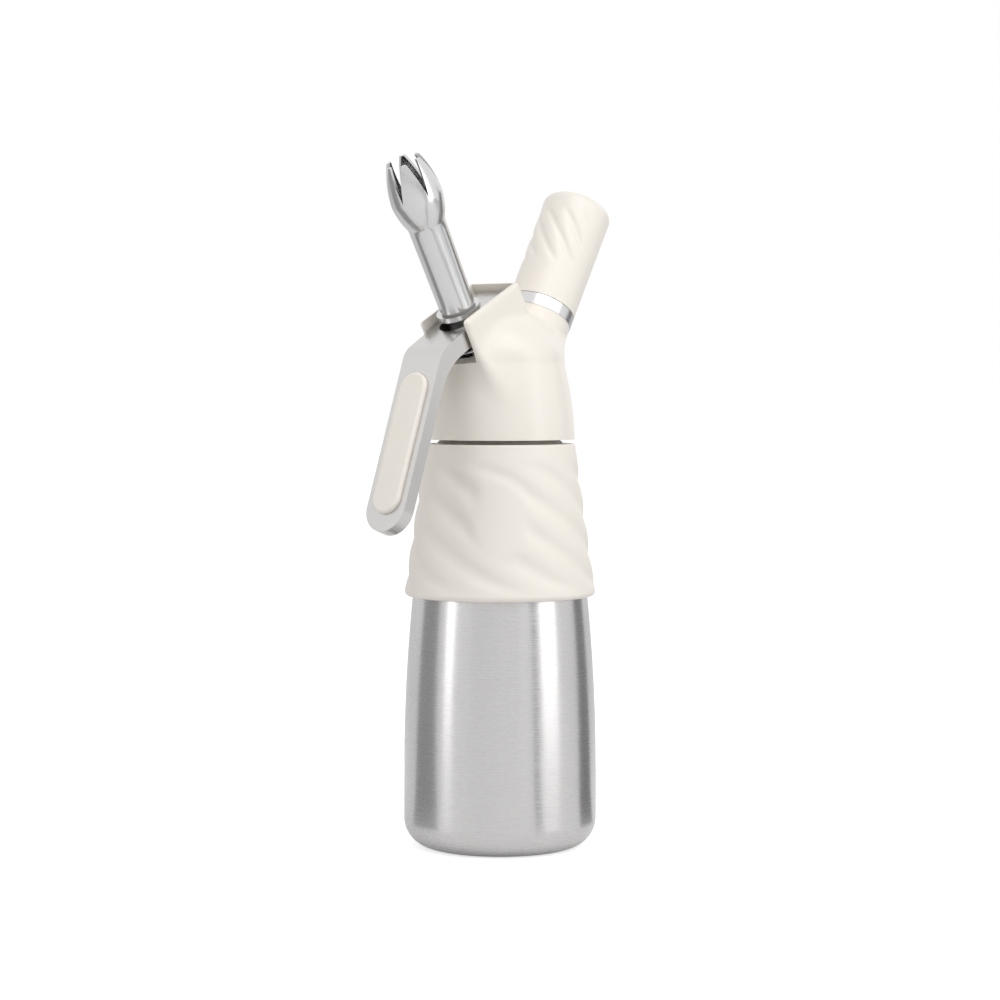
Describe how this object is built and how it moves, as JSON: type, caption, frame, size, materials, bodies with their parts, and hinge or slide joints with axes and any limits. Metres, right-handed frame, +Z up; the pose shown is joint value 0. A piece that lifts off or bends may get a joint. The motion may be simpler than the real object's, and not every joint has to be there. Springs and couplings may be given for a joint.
{
  "type": "whipped cream dispenser",
  "caption": "Steel pressure bottle with a screw-on head, squeeze lever, spring valve, tulip nozzle and gas charger holder.",
  "frame": {"origin": "on the bottle's axis, at the plane that its foot stands on", "axes": "+Z up along the bottle's axis, -X toward the lever and nozzle, +X toward the charger holder, XZ the plane of symmetry"},
  "size_m": [0.1377, 0.08, 0.2843],
  "materials": {
    "cream_plastic": "smooth satin cream",
    "cream_rubber": "matt cream silicone",
    "brushed_steel": "fine brushed stainless",
    "lever_steel": "satin stainless",
    "polished_steel": "polished",
    "brass_plated": "plated",
    "seal_rubber": "matt silicone",
    "liner_plastic": "matt"
  },
  "bodies": {
    "bottle": {"bottle": "brushed_steel", "grip_sleeve": "cream_rubber"},
    "neck_seal": {"head_gasket": "seal_rubber"},
    "head": {"head_shell": "cream_plastic", "thread_insert": "brushed_steel", "lever_pin": "polished_steel", "valve_bush": "polished_steel", "valve_spring": "polished_steel", "charger_collar": "polished_steel", "pin_carrier": "brass_plated", "check_valve": "seal_rubber", "piercing_pin": "polished_steel", "pin_seal": "seal_rubber"},
    "lever": {"lever": "lever_steel", "lever_pad": "cream_rubber"},
    "valve": {"valve_stem": "polished_steel", "valve_seal": "seal_rubber", "valve_o_ring": "seal_rubber", "nozzle_adapter": "polished_steel"},
    "tip_seal": {"tip_washer": "seal_rubber"},
    "tip": {"decorator_tip": "polished_steel"},
    "charger": {"gas_charger": "brushed_steel"},
    "holder": {"holder_shell": "cream_plastic", "holder_liner": "liner_plastic"}
  },
  "joints": [
    {"name": "head_rise", "type": "slide", "parent": "bottle", "child": "neck_seal", "axis": [0, 0, 1], "range_m": [0, 0.00601]},
    {"name": "head_turn", "type": "hinge", "parent": "neck_seal", "child": "head", "pos_m": [0, 0, 0.177], "axis": [0, 0, 1], "range_deg": [0, 720]},
    {"name": "lever_press", "type": "hinge", "parent": "head", "child": "lever", "pos_m": [-0.00605, 0, 0.22547], "axis": [0, -1, 0], "range_deg": [0, 10], "stiffness_Nm_per_rad": 1.5, "springref_deg": -5.73},
    {"name": "valve_slide", "type": "slide", "parent": "head", "child": "valve", "axis": [0.5, 0, -0.866], "range_m": [0, 0.00395], "deforming": ["valve_spring"]},
    {"name": "tip_rise", "type": "slide", "parent": "valve", "child": "tip_seal", "axis": [-0.5, 0, 0.866], "range_m": [0, 0.003]},
    {"name": "tip_turn", "type": "hinge", "parent": "tip_seal", "child": "tip", "pos_m": [-0.03, 0, 0.22896], "axis": [-0.5, 0, 0.866], "range_deg": [0, 720.5]},
    {"name": "charger_rise", "type": "slide", "parent": "head", "child": "charger", "axis": [0.5, 0, 0.866], "range_m": [0, 0.0075]},
    {"name": "holder_turn", "type": "hinge", "parent": "charger", "child": "holder", "pos_m": [0.03, 0, 0.22896], "axis": [0.5, 0, 0.866], "range_deg": [0, 1080.5]}
  ],
  "couplings": [
    {"joint": "head_rise", "follows": "head_turn", "m_per_rad": 0.00047746},
    {"joint": "valve_slide", "follows": "lever_press", "m_per_rad": 0.0226},
    {"joint": "tip_turn", "follows": "tip_rise", "rad_per_m": 4188.8},
    {"joint": "holder_turn", "follows": "charger_rise", "rad_per_m": 2513.3}
  ]
}
